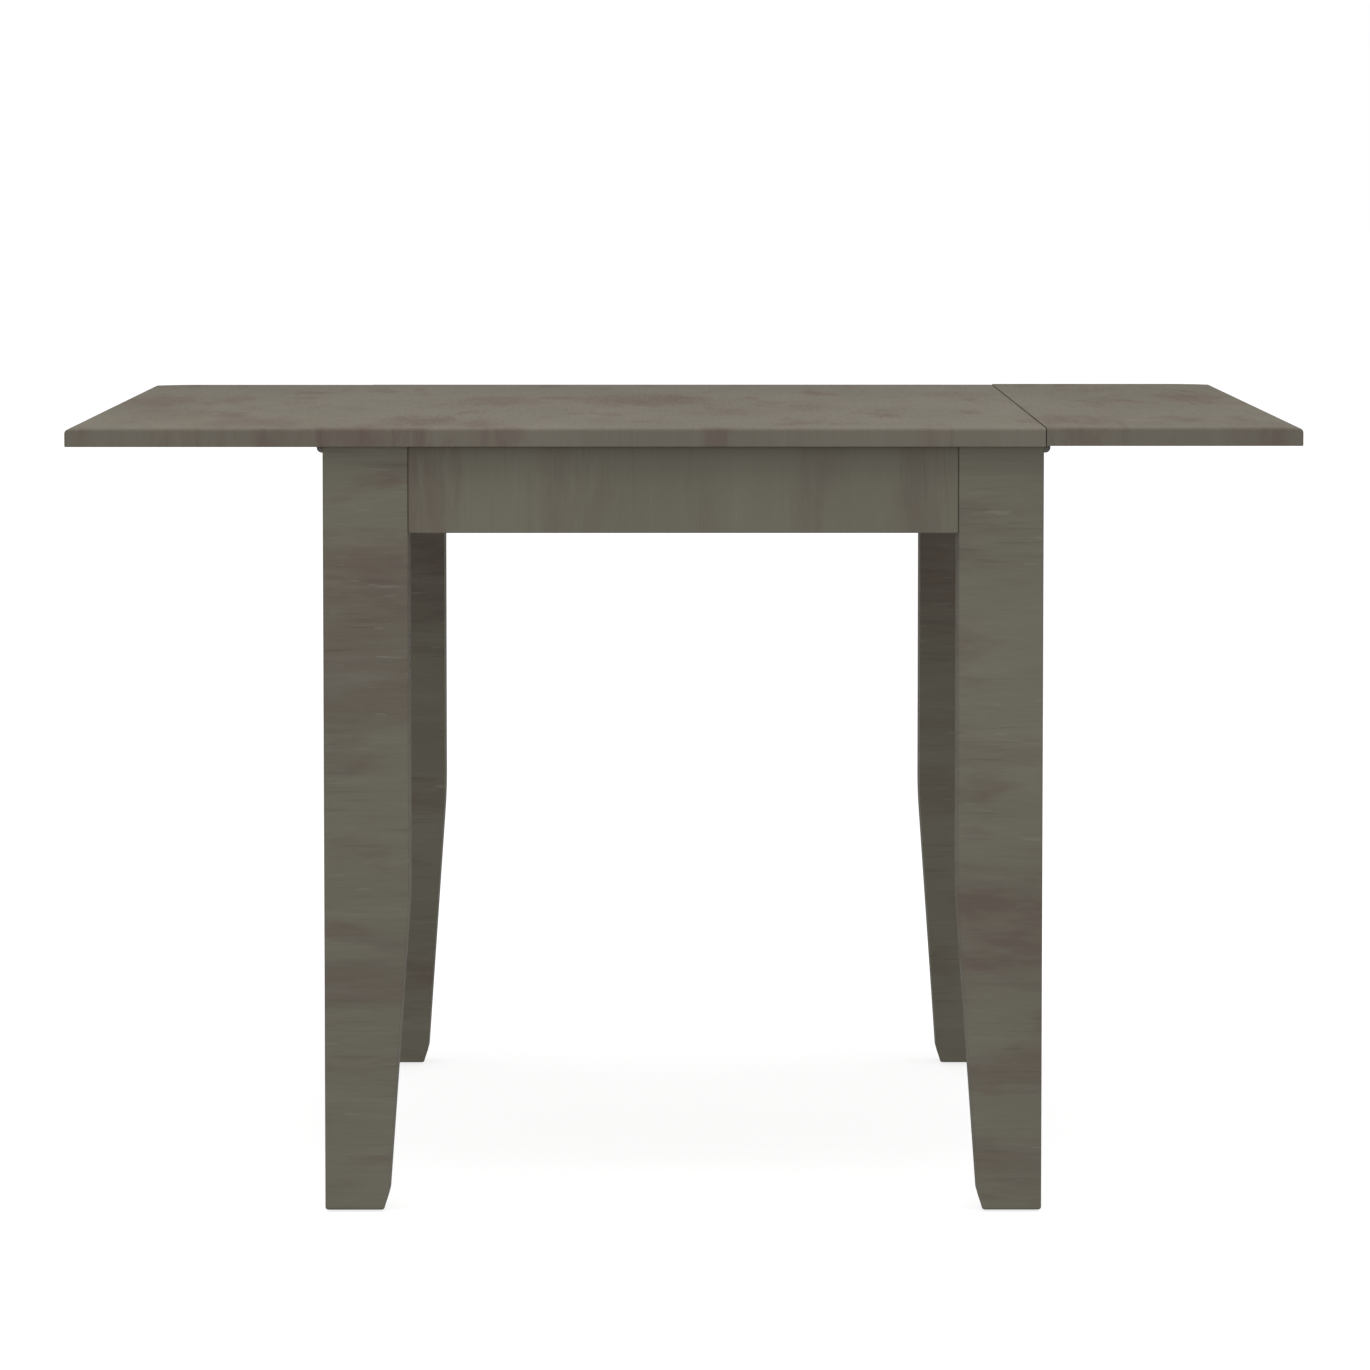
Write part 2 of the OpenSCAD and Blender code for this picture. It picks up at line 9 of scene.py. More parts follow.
import bmesh
import bpy
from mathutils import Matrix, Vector

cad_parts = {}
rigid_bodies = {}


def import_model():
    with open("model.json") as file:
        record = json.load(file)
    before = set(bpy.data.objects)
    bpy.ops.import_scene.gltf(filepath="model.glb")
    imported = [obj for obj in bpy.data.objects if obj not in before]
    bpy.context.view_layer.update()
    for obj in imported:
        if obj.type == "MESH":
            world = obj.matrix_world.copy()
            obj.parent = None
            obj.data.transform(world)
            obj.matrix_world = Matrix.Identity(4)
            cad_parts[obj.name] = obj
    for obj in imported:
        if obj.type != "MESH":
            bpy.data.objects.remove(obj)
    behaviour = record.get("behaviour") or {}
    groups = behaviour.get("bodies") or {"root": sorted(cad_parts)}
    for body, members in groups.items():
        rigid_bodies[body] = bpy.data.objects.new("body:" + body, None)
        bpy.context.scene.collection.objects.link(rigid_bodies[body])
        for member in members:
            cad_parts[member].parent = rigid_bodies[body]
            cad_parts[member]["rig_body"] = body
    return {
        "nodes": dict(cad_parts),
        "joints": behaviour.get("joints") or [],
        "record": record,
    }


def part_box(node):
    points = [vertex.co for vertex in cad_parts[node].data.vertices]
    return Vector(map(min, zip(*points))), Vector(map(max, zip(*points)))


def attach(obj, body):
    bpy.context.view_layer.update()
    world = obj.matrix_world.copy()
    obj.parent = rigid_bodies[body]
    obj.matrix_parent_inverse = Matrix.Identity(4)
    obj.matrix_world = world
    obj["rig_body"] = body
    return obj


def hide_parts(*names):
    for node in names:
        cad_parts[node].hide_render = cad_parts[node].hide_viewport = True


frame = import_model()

bpy.context.view_layer.update()

MM = 0.001
SIDES = ("left", "right")
ENDS = ("front", "rear")
HINGES = ("front", "middle", "rear")
SIGN = {"left": -1, "right": 1, "front": -1, "rear": 1}

# Roundings of the wooden pieces
TOP_ROUND = 3 * MM
END_ROUND = 4.5 * MM
LOWER_EASE = 1 * MM
PLAN_ROUND = 2.5 * MM
APRON_EASE = 1.2 * MM
SMALL_EASE = 0.6 * MM
LEG_ROUND = 1.6 * MM
FOOT_ROUND = 3 * MM

# The boards' edges along the seams: easing, and how far they stand into the open seam
SEAM_EASE = {"left": 0.1 * MM, "right": 0.3 * MM}
SEAM_REACH = {"left": 0.15 * MM, "right": 0.35 * MM}

# The leaves' outer ends fall a little
LEAF_FALL = 0.8 * MM
LEAF_FALL_RUN = 50 * MM

# The legs' inner faces taper below a blended bend
FOOT_WIDTH = 62 * MM
FOOT_CHAMFER = 4 * MM
FOOT_CHAMFER_TOP = 17 * MM
TAPER_HEIGHT = 307 * MM
TAPER_BLEND = 40 * MM

# Hinge recesses in the wood
POCKET_MARGIN = 0.3 * MM
PLATE_TOP = 3.5 * MM
GROOVE_RADIUS = 5.6 * MM
NOTCH = 6.5 * MM
NOTCH_SKIN = 2 * MM

# Room around the slides where they pass through the side aprons
SLIDE_ROOM = 0.5 * MM

# Countersinks in the side aprons for the centre bearer's screws
BEARER_SCREW_DROPS = (45 * MM, 22 * MM)
BEARER_HEAD = 4.6 * MM
BEARER_SHANK = 2.35 * MM
BEARER_HEAD_DEPTH = BEARER_HEAD - BEARER_SHANK

# How far cutters reach past the wood that they cut
PAST = 1 * MM

# Lights, all aimed at one point: place, size and power in watts
SOFTBOXES = {
    "softbox_above": ((0, -1.0, 3.2), (3.6, 2.4), 82),
    "softbox_front": ((0, -4.2, 1.2), (3.0, 0.8), 25.5),
}
LIGHT_TARGET = (0, 0, 0.4)
WORLD_STRENGTH = 1.0
FLOOR_GLOW = 0.785
FLOOR_SIZE = 60

# The camera, at the photograph's viewing angle: lens and sensor in mm, place in metres, turns in
# radians
SENSOR_WIDTH = 36
LENS = 187.283
CAMERA_PLACE = (-0.0073, -7.4884, 1.0523)
CAMERA_PITCH = 0.0774
CAMERA_YAW = -0.0013
VIEW_DISTANCE = 200


# ---- Mesh tools ----

def new_piece(name, bm):
    """A new object from a bmesh, its faces turned outward."""
    bmesh.ops.recalc_face_normals(bm, faces=bm.faces)
    mesh = bpy.data.meshes.new(name)
    bm.to_mesh(mesh)
    bm.free()
    piece = bpy.data.objects.new(name, mesh)
    bpy.context.scene.collection.objects.link(piece)
    return piece


def smooth(piece, angle=40):
    """Smooth shading over the roundings, with flat faces kept flat."""
    piece.data.shade_smooth()
    piece.data.set_sharp_from_angle(angle=math.radians(angle))
    normals = piece.modifiers.new("even_normals", "WEIGHTED_NORMAL")
    normals.keep_sharp = True


def loft(name, rings):
    """A closed skin over rings of the same number of points."""
    bm = bmesh.new()
    made = [[bm.verts.new(point) for point in ring] for ring in rings]
    for near, far in zip(made, made[1:]):
        for i, corner in enumerate(near):
            j = (i + 1) % len(near)
            bm.faces.new((corner, near[j], far[j], far[i]))
    bm.faces.new(made[0])
    bm.faces.new(made[-1])
    return new_piece(name, bm)


def block(low, high, name="cutter"):
    """A plain box between two corners."""
    bm = bmesh.new()
    bmesh.ops.create_cube(bm, size=1)
    low, high = Vector(low), Vector(high)
    for vert in bm.verts:
        vert.co = [low[k] + (vert.co[k] + 0.5) * (high[k] - low[k]) for k in range(3)]
    return new_piece(name, bm)


def rod(start, end, radius, end_radius=None, sides=64):
    """A round bar or cone between two points, to cut with."""
    start, end = Vector(start), Vector(end)
    across = (end - start).orthogonal().normalized()
    other = (end - start).cross(across).normalized()
    rings = []
    for centre, size in ((start, radius), (end, radius if end_radius is None else end_radius)):
        turns = [2 * math.pi * i / sides for i in range(sides)]
        rings.append([centre + size * (across * math.cos(t) + other * math.sin(t)) for t in turns])
    return loft("cutter", rings)


def carve(piece, cutters):
    """Takes the cutters out of a piece."""
    for cutter in cutters:
        taken = piece.modifiers.new("carve", "BOOLEAN")
        taken.operation = "DIFFERENCE"
        taken.solver = "EXACT"
        taken.object = cutter
    graph = bpy.context.evaluated_depsgraph_get()
    piece.data = bpy.data.meshes.new_from_object(piece.evaluated_get(graph))
    piece.modifiers.clear()
    for cutter in cutters:
        bpy.data.objects.remove(cutter)
    return piece


def quarter(radius, steps):
    """Points of a quarter round at an edge, as (distance from the end face, inset of the sides)."""
    turns = [math.pi / 2 * k / steps for k in range(steps + 1)]
    return [(radius * (1 - math.cos(t)), radius * (1 - math.sin(t))) for t in turns]


def eased_block(name, low, high, radius, steps=3):
    """A bar with all its edges rounded."""
    piece = block(low, high, name)
    bm = bmesh.new()
    bm.from_mesh(piece.data)
    bmesh.ops.bevel(
        bm, geom=bm.edges[:], offset=radius, segments=steps, profile=0.5, affect="EDGES"
    )
    bm.to_mesh(piece.data)
    bm.free()
    return piece


def eased_copy(node, radius, steps=2, angle=30):
    """A copy of a CAD node with its sharp edges rounded."""
    bm = bmesh.new()
    bm.from_mesh(frame["nodes"][node].data)
    bmesh.ops.remove_doubles(bm, verts=bm.verts, dist=0.001 * MM)
    bmesh.ops.dissolve_limit(
        bm, angle_limit=math.radians(1), verts=bm.verts, edges=bm.edges
    )
    sharp = [
        edge
        for edge in bm.edges
        if len(edge.link_faces) == 2 and edge.calc_face_angle() > math.radians(angle)
    ]
    bmesh.ops.bevel(
        bm, geom=sharp, offset=radius, segments=steps, profile=0.5, affect="EDGES",
        clamp_overlap=True
    )
    return new_piece(node + "_eased", bm)


def finish_piece(piece, node, material):
    """Puts a piece in its CAD node's place."""
    body = frame["nodes"][node]["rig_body"]
    piece.data.materials.clear()
    piece.data.materials.append(material)
    smooth(piece)
    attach(piece, body)
    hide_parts(node)
    return piece


# ---- Material tools ----

class Graph:
    """A material's node tree, filled in by name."""

    def __init__(self, name):
        self.material = bpy.data.materials.new(name)
        self.material.use_nodes = True
        self.tree = self.material.node_tree
        self.shader = self.tree.nodes["Principled BSDF"]

    def node(self, kind, inputs=None, **settings):
        """A node with its settings and inputs; an input is a number, a colour or a socket."""
        made = self.tree.nodes.new("ShaderNode" + kind)
        for key, value in settings.items():
            setattr(made, key, value)
        for key, value in (inputs or {}).items():
            if isinstance(value, bpy.types.NodeSocket):
                self.tree.links.new(value, made.inputs[key])
            else:
                made.inputs[key].default_value = value
        return made

    def noise(self, scale, seed, detail=2.0, roughness=0.5, distortion=0.0, output="Fac"):
        """Noise with its own number of features per metre along X, Y and Z."""
        place = self.node("TexCoord").outputs["Object"]
        moved = self.node("Mapping", {"Vector": place, "Location": seed, "Scale": scale})
        made = self.node(
            "TexNoise",
            {
                "Vector": moved.outputs[0],
                "Scale": 1.0,
                "Detail": detail,
                "Roughness": roughness,
                "Distortion": distortion,
            },
        )
        return made.outputs[output]

    def spread(self, value, low, high, to_low=0.0, to_high=1.0):
        """Maps the range low to high smoothly onto another one."""
        ends = {"From Min": low, "From Max": high, "To Min": to_low, "To Max": to_high}
        made = self.node("MapRange", {"Value": value, **ends}, interpolation_type="SMOOTHSTEP")
        return made.outputs[0]

    def math(self, operation, a, b):
        """One sum of two numbers or sockets."""
        made = self.node("Math", operation=operation)
        for socket, value in zip(made.inputs, (a, b)):
            if isinstance(value, bpy.types.NodeSocket):
                self.tree.links.new(value, socket)
            else:
                socket.default_value = value
        return made.outputs[0]

    def vector_math(self, operation, a, b):
        """One sum of two vectors or sockets."""
        return self.node("VectorMath", {0: a, 1: b}, operation=operation).outputs[0]

    def mix(self, factor, a, b, blend="MIX"):
        """A mix of two colours, b over a."""
        made = self.node("Mix", data_type="RGBA", blend_type=blend)
        for socket, value in ((made.inputs[0], factor), (made.inputs[6], a), (made.inputs[7], b)):
            if isinstance(value, bpy.types.NodeSocket):
                self.tree.links.new(value, socket)
            else:
                socket.default_value = value
        return made.outputs[2]

    def grey(self, value):
        """A number as a colour."""
        made = self.node("CombineColor", {"Red": value, "Green": value, "Blue": value})
        return made.outputs[0]

    def crevices(self, reach):
        """1 where other surfaces shut a point in, as in the narrow joints between pieces, 0 in the
        open; it places painted shade.
        """
        openness = self.node("AmbientOcclusion", {"Distance": reach}, samples=6).outputs["AO"]
        return self.spread(openness, 0.80, 0.35)

    def patch(self, place, centre, half):
        """1 in the middle of a soft patch, 0 outside it, endless along axes where half is None."""
        scale = [0 if h is None else 1 / h for h in half]
        shift = [-c * k for c, k in zip(centre, scale)]
        moved = self.node("Mapping", {"Vector": place, "Location": shift, "Scale": scale})
        away = self.node("VectorMath", {0: moved.outputs[0]}, operation="LENGTH")
        return self.spread(away.outputs["Value"], 1.25, 0.20)

    def edges(self, radius):
        """1 on sharp convex and concave edges, 0 on flat faces."""
        rounded = self.node("Bevel", {"Radius": radius}, samples=6).outputs[0]
        plain = self.node("NewGeometry").outputs["Normal"]
        same = self.node("VectorMath", {0: rounded, 1: plain}, operation="DOT_PRODUCT")
        return self.spread(same.outputs["Value"], 0.98, 0.80)

    def feed(self, **sockets):
        """Links or sets the shader's inputs."""
        for key, value in sockets.items():
            socket = self.shader.inputs[key.replace("_", " ")]
            if isinstance(value, bpy.types.NodeSocket):
                self.tree.links.new(value, socket)
            else:
                socket.default_value = value

    def bump(self, height, distance, strength):
        """Relief from a height, on the shader's normal."""
        made = self.node("Bump", {"Height": height, "Distance": distance, "Strength": strength})
        self.tree.links.new(made.outputs[0], self.shader.inputs["Normal"])


WHITE = (1, 1, 1, 1)

# Linear colours of the weathered stain, and of the mauve brown that shows where the stain lies
# thinly.
# The mauve brown also paints part of the shade high on the rear legs, and the dark colour
# serves both the dark streaks and the painted shade in joints and under the top.
STAIN = (0.0925, 0.0868, 0.0680, 1)
STAIN_MAUVE = (0.0760, 0.0610, 0.0495, 1)
STAIN_PALE = (0.1190, 0.1130, 0.0930, 1)
STAIN_DARK_AND_SHADE = (0.0480, 0.0405, 0.0315, 1)


def grain_noise(g, across, start):
    """Noise with its own number of features per metre across and along the grain."""

    def grain(across_scale, along_scale, **settings):
        scale = [across_scale if axis in across else along_scale for axis in "XYZ"]
        return g.noise(scale, start, **settings)

    return grain


def stained_wood(
    name, across, seed, mauve=1.0, streaks=1.0, flecks=1.0, fine=1.0, joints=0.8, hollows=0.0,
    patches=(), push=(0.10, 0.10), tint=WHITE, painted_edge_shade=None
):
    """Weathered stain, with the grain along every axis that isn't in across.

    mauve, streaks, flecks and fine scale the thinly stained areas, the strokes, the pale flecks and
    the fine fibres. joints and hollows paint shade: darker in narrow joints and on the wood near
    other pieces. patches are mauve areas, those high on the rear legs partly painted shade under
    the top: centre, half size and strength each; push is how far noise moves their borders across
    and along the grain. tint multiplies the colour, and painted_edge_shade darkens the colour of
    the front and rear edges as painted shade.
    """
    g = Graph(name)
    grain = grain_noise(g, across, (seed, seed * 0.37, seed * 0.73))

    band = grain(44, 5, detail=4, roughness=0.62)
    smudge = grain(60, 16, detail=4, roughness=0.6)
    cluster = g.spread(grain(14, 6, detail=2), 0.42, 0.60, 0.15, 1.0)
    streak = grain(300, 14, detail=3, roughness=0.65)
    fibre = grain(1300, 45, detail=2)
    cloud = grain(6, 2.5, detail=2)
    wash = grain(18, 5, detail=5, roughness=0.6, distortion=0.3)
    thin_stain_and_shade = g.spread(wash, 0.50, 0.70, 0.0, 0.75 * mauve)
    if patches:
        ragged = grain(70, 9, detail=4, roughness=0.6, output="Color")
        reach = [push[0] if axis in across else push[1] for axis in "XYZ"]
        away = g.vector_math("SUBTRACT", ragged, (0.5, 0.5, 0.5))
        away = g.vector_math("MULTIPLY", away, reach)
        place = g.vector_math("ADD", g.node("TexCoord").outputs["Object"], away)
        # The patches high on the rear legs are partly mauve stain and partly painted shade under
        # the top
        for centre, half, strength in patches:
            spot = g.math("MULTIPLY", g.patch(place, centre, half), strength)
            thin_stain_and_shade = g.math("MAXIMUM", thin_stain_and_shade, spot)
    thin_stain_and_shade = g.math("MULTIPLY", thin_stain_and_shade, g.spread(smudge, 0.30, 0.60, 0.55, 1.10))
    colour = g.mix(thin_stain_and_shade, STAIN, STAIN_MAUVE)
    colour = g.mix(g.spread(band, 0.46, 0.76, 0.0, 0.40 * streaks), colour, STAIN_PALE)
    dark = g.math("MULTIPLY", g.spread(streak, 0.52, 0.82, 0.0, 0.55 * streaks), cluster)
    colour = g.mix(dark, colour, STAIN_DARK_AND_SHADE)
    fleck = g.spread(grain(230, 30, detail=1), 0.69, 0.78, 0.0, 0.8 * flecks)
    fleck = g.math("MULTIPLY", fleck, cluster)
    colour = g.mix(fleck, colour, STAIN_PALE)
    thread = g.spread(fibre, 0.25, 0.75, 1 - 0.035 * fine, 1 + 0.035 * fine)
    shade = g.math("MULTIPLY", g.spread(cloud, 0.30, 0.70, 0.95, 1.05), thread)
    colour = g.mix(1.0, colour, g.grey(shade), "MULTIPLY")
    colour = g.mix(1.0, colour, tint, "MULTIPLY")
    # Painted shade: the faces that look to the front or rear are darkened
    if painted_edge_shade:
        normal = g.node("TexCoord").outputs["Normal"]
        facing = g.node("SeparateXYZ", {0: normal}).outputs["Y"]
        ends = g.spread(g.math("ABSOLUTE", facing, 0.0), 0.50, 0.90)
        colour = g.mix(ends, colour, g.mix(1.0, colour, painted_edge_shade, "MULTIPLY"))
    colour = g.mix(g.math("MULTIPLY", g.edges(1.5 * MM), 0.08), colour, STAIN_PALE)
    # Painted shade: darker in the narrow joints between pieces and, through hollows, on the wood
    # near other pieces such as under the top
    for width, darkness in ((5 * MM, joints), (30 * MM, hollows)):
        if darkness:
            painted_shade = g.math("MULTIPLY", g.crevices(width), darkness)
            colour = g.mix(painted_shade, colour, STAIN_DARK_AND_SHADE)
    g.feed(Base_Color=colour)
    g.feed(Roughness=g.spread(streak, 0.3, 0.8, 0.82, 0.96), Specular_IOR_Level=0.1)
    height = g.math("ADD", g.math("MULTIPLY", streak, 0.6), g.math("MULTIPLY", fibre, 0.4))
    g.bump(height, 0.12 * MM, 0.6 * fine)
    return g.material


def plain_wood(name, across, seed):
    """Unstained sanded hardwood of the hidden parts."""
    g = Graph(name)
    grain = grain_noise(g, across, (seed, seed * 0.41, seed * 0.67))
    growth = grain(70, 2.0, detail=3, distortion=0.6)
    pores = grain(900, 25, detail=2)
    cloud = grain(9, 3, detail=2)
    colour = g.mix(g.spread(growth, 0.35, 0.70), (0.42, 0.29, 0.17, 1), (0.30, 0.19, 0.105, 1))
    colour = g.mix(g.spread(pores, 0.62, 0.80, 0.0, 0.5), colour, (0.17, 0.10, 0.055, 1))
    colour = g.mix(1.0, colour, g.grey(g.spread(cloud, 0.3, 0.7, 0.90, 1.08)), "MULTIPLY")
    colour = g.mix(g.math("MULTIPLY", g.edges(1.5 * MM), 0.25), colour, (0.50, 0.37, 0.23, 1))
    g.feed(Base_Color=colour)
    g.feed(Roughness=g.spread(pores, 0.3, 0.8, 0.60, 0.75), Specular_IOR_Level=0.3)
    g.bump(pores, 0.1 * MM, 0.6)
    return g.material


def steel(name, colour, worn_colour, roughness, metallic=1.0, spots=0.3):
    """Worked steel: fine brushing, a few dull spots and bright edges."""
    g = Graph(name)
    brushing = g.noise((2600, 2600, 260), (3.1, 1.7, 0.4), detail=3, roughness=0.7)
    spot = g.spread(g.noise((220, 220, 220), (1.3, 4.2, 2.2), detail=4), 0.52, 0.72, 0.0, spots)
    mottle = g.noise((60, 60, 60), (0.3, 2.9, 1.1), detail=3)
    base = g.mix(g.spread(mottle, 0.3, 0.7), colour, tuple(0.82 * c for c in colour[:3]) + (1,))
    base = g.mix(spot, base, tuple(0.45 * c for c in colour[:3]) + (1,))
    base = g.mix(g.math("MULTIPLY", g.edges(0.5 * MM), 0.6), base, worn_colour)
    g.feed(Base_Color=base, Metallic=metallic)
    rough = g.spread(brushing, 0.3, 0.7, roughness - 0.06, roughness + 0.10)
    g.feed(Roughness=g.math("ADD", rough, g.math("MULTIPLY", spot, 0.35)))
    g.bump(brushing, 0.02 * MM, 0.5)
    return g.material


def nylon(name):
    """Dark moulded nylon with scuffs."""
    g = Graph(name)
    texture = g.noise((1400, 1400, 1400), (0, 0, 0), detail=3)
    scuff = g.spread(g.noise((90, 300, 90), (2, 1, 3), detail=3), 0.55, 0.75, 0.0, 0.5)
    g.feed(Base_Color=g.mix(scuff, (0.030, 0.030, 0.028, 1), (0.085, 0.083, 0.078, 1)))
    g.feed(Roughness=g.spread(scuff, 0.0, 0.5, 0.45, 0.65))
    g.bump(texture, 0.03 * MM, 0.5)
    return g.material


# ---- Top ----

def board_ring(x, half, bottom, top, side_inset=0.0, lower_inset=0.0, drop=0.0):
    """One ring of a board at x: eased below, rounded above, its upper face lowered by drop."""
    half -= side_inset
    bottom += lower_inset
    lower, upper = 3, 8
    rear = []
    for k in range(lower + 1):
        turn = math.pi / 2 * k / lower
        y = half - LOWER_EASE * (1 - math.sin(turn))
        rear.append((y, bottom + LOWER_EASE * (1 - math.cos(turn))))
    for k in range(upper + 1):
        turn = math.pi / 2 * k / upper
        fallen = math.hypot(TOP_ROUND * (1 - math.sin(turn)), drop)
        rear.append((half - TOP_ROUND * (1 - math.cos(turn)), top - fallen))
    front = [(-y, z) for y, z in reversed(rear)]
    return [Vector((x, y, z)) for y, z in rear + front]


def hinge_axis(side):
    """A point on the axis that one side's leaf turns on."""
    return next(j for j in frame["joints"] if j["name"] == side + "_leaf_hinge")["pos_m"]


def hinge_recesses(side, part):
    """What the hinges of one side take out of the board or the leaf."""
    axis = hinge_axis(side)
    cutters = []
    for place in HINGES:
        low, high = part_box(f"hinge_{side}_{place}_{part}_plate")
        margin = Vector((POCKET_MARGIN, POCKET_MARGIN, 0))
        far = max((low.x, high.x), key=lambda x: abs(x - axis[0]))
        first, last = sorted((axis[0], far))
        bottom = Vector((first, low.y, low.z)) - margin
        top = Vector((last, high.y, axis[2] + PLATE_TOP)) + margin
        cutters.append(block(bottom, top))
        start = Vector((axis[0], low.y - PAST, axis[2]))
        end = Vector((axis[0], high.y + PAST, axis[2]))
        cutters.append(rod(start, end, GROOVE_RADIUS))
    return cutters


def centre_board(material):
    """The fixed middle of the top, eased at both seams."""
    low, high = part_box("centre_board")
    first, last = low.x - SEAM_REACH["left"], high.x + SEAM_REACH["right"]
    levels = [(first + x, inset) for x, inset in quarter(SEAM_EASE["left"], 3)]
    levels += [(last - x, inset) for x, inset in reversed(quarter(SEAM_EASE["right"], 3))]
    rings = [board_ring(x, high.y, low.z, high.z, inset, inset, inset) for x, inset in levels]
    piece = loft("centre_board_wood", rings)
    carve(piece, hinge_recesses("left", "board") + hinge_recesses("right", "board"))
    return finish_piece(piece, "centre_board", material)


def leaf(side, material):
    """One leaf: eased at its seam, fallen and rounded at its outer end."""
    low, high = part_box("leaf_" + side)
    sign = SIGN[side]
    half = high.y
    inner, outer = sorted((abs(low.x), abs(high.x)))
    inner -= SEAM_REACH[side]
    fall_start, fall_end = outer - LEAF_FALL_RUN, outer - END_ROUND
    rings = [
        board_ring(sign * (inner + x), half, low.z, high.z, inset, inset, inset)
        for x, inset in quarter(SEAM_EASE[side], 3)
    ]
    fall_steps = 8
    for k in range(fall_steps + 1):
        share = k / fall_steps
        x = fall_start + share * (fall_end - fall_start)
        rings.append(board_ring(sign * x, half, low.z, high.z, drop=LEAF_FALL * share**2))
    end_steps = 10
    for k in range(1, end_steps + 1):
        turn = math.pi / 2 * k / end_steps
        x = outer - END_ROUND * (1 - math.sin(turn))
        drop = LEAF_FALL + END_ROUND * (1 - math.cos(turn))
        plan, under = (
            r - math.sqrt(max(0.0, r * r - max(0.0, x - (outer - r)) ** 2))
            for r in (PLAN_ROUND, LOWER_EASE)
        )
        rings.append(board_ring(sign * x, half, low.z, high.z, plan, under, drop))
    piece = loft(f"leaf_{side}_wood", rings)
    carve(piece, hinge_recesses(side, "leaf"))
    return finish_piece(piece, "leaf_" + side, material)


# ---- Legs ----

def rounded_ring(low, high, z, radius, steps=5):
    """A rounded rectangle at height z between two plan corners."""
    ring = []
    corners = ((high.x, high.y, 0), (low.x, high.y, 90), (low.x, low.y, 180), (high.x, low.y, 270))
    for x, y, start in corners:
        inward_x = -radius if x == high.x else radius
        inward_y = -radius if y == high.y else radius
        for k in range(steps + 1):
            turn = math.radians(start + 90 * k / steps)
            around = (radius * math.cos(turn), radius * math.sin(turn))
            ring.append(Vector((x + inward_x + around[0], y + inward_y + around[1], z)))
    return ring


def leg(end, side, material):
    """One leg: square above, tapered on its two inner faces, chamfered and rounded at the foot."""
    node = f"leg_{end}_{side}"
    low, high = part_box(node)
    size = high.x - low.x
    outer = Vector((max(abs(low.x), abs(high.x)), max(abs(low.y), abs(high.y))))
    slope = (size - FOOT_WIDTH) / (TAPER_HEIGHT - FOOT_CHAMFER_TOP)
    half = TAPER_BLEND / 2
    levels = []
    for z, inset in quarter(FOOT_ROUND, 5):
        levels.append((low.z + z, FOOT_WIDTH - FOOT_CHAMFER - inset, inset))
    levels.append((FOOT_CHAMFER_TOP, FOOT_WIDTH, 0.0))
    blend_steps = 8
    for k in range(blend_steps + 1):
        t = k / blend_steps
        z = TAPER_HEIGHT - half * (1 - t) ** 2 + half * t**2
        levels.append((z, size - slope * half * (1 - t) ** 2, 0.0))
    levels.append((high.z, size, 0.0))
    rings = []
    for z, width, inset in levels:
        far = outer - Vector((inset, inset))
        near = outer - Vector((width, width))
        ring = rounded_ring(near, far, z, LEG_ROUND)
        rings.append([Vector((SIGN[side] * p.x, SIGN[end] * p.y, p.z)) for p in ring])
    piece = loft(node + "_wood", rings)
    spans = (
        (SIGN[side] * (outer.x - NOTCH), SIGN[side] * (outer.x + PAST)),
        (SIGN[end] * (outer.y - size - PAST), SIGN[end] * (outer.y - NOTCH_SKIN)),
        (hinge_axis(side)[2] - NOTCH, high.z + PAST),
    )
    carve(piece, [block([min(span) for span in spans], [max(span) for span in spans])])
    return finish_piece(piece, node, material)


# ---- Aprons ----

def end_apron(end, material):
    """The front or rear apron."""
    node = "apron_" + end
    piece = eased_block(node + "_wood", *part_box(node), APRON_EASE)
    return finish_piece(piece, node, material)


def side_apron(side, material):
    """The left or right apron, with room for its slides and screws."""
    node = "apron_" + side
    low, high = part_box(node)
    piece = eased_block(node + "_wood", low, high, APRON_EASE)
    cutters = []
    for end in ENDS:
        slide_low, slide_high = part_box(f"slide_{side}_{end}")
        bottom = (low.x - PAST, slide_low.y - SLIDE_ROOM, slide_low.z - SLIDE_ROOM)
        top = (high.x + PAST, slide_high.y + SLIDE_ROOM, high.z + PAST)
        cutters.append(block(bottom, top))
    outer = SIGN[side] * max(abs(low.x), abs(high.x))
    for drop in BEARER_SCREW_DROPS:
        face = Vector((outer, 0, high.z - drop))
        inward = Vector((-SIGN[side], 0, 0))
        bottom = face + inward * BEARER_HEAD_DEPTH
        cutters.append(rod(face - inward * PAST, bottom, BEARER_HEAD + PAST, BEARER_SHANK))
    carve(piece, cutters)
    return finish_piece(piece, node, material)


# ---- Build ----

# Mauve areas of the top: centre (x, y), half size (x, y) and strength
TOP_PATCHES = [
    ((x, y, 0), (half_x, half_y, None), strength)
    for x, y, half_x, half_y, strength in (
        (-0.555, 0.10, 0.050, 0.22, 0.95),
        (-0.48, 0.14, 0.030, 0.14, 0.65),
        (-0.52, -0.30, 0.060, 0.20, 0.50),
        (-0.42, -0.45, 0.065, 0.15, 0.90),
        (-0.262, -0.42, 0.050, 0.15, 1.30),
        (-0.308, -0.60, 0.035, 0.08, 0.85),
        (-0.19, 0.08, 0.060, 0.18, 0.85),
        (-0.04, 0.12, 0.095, 0.20, 1.15),
        (-0.20, -0.50, 0.030, 0.16, 0.85),
        (0.05, -0.20, 0.060, 0.16, 0.55),
        (0.13, -0.05, 0.040, 0.20, 0.50),
        (0.30, 0.25, 0.040, 0.15, 0.45),
        (0.39, -0.42, 0.060, 0.16, 0.90),
        (0.43, 0.12, 0.025, 0.10, 0.30),
        (0.54, 0.16, 0.036, 0.18, 1.15),
    )
]
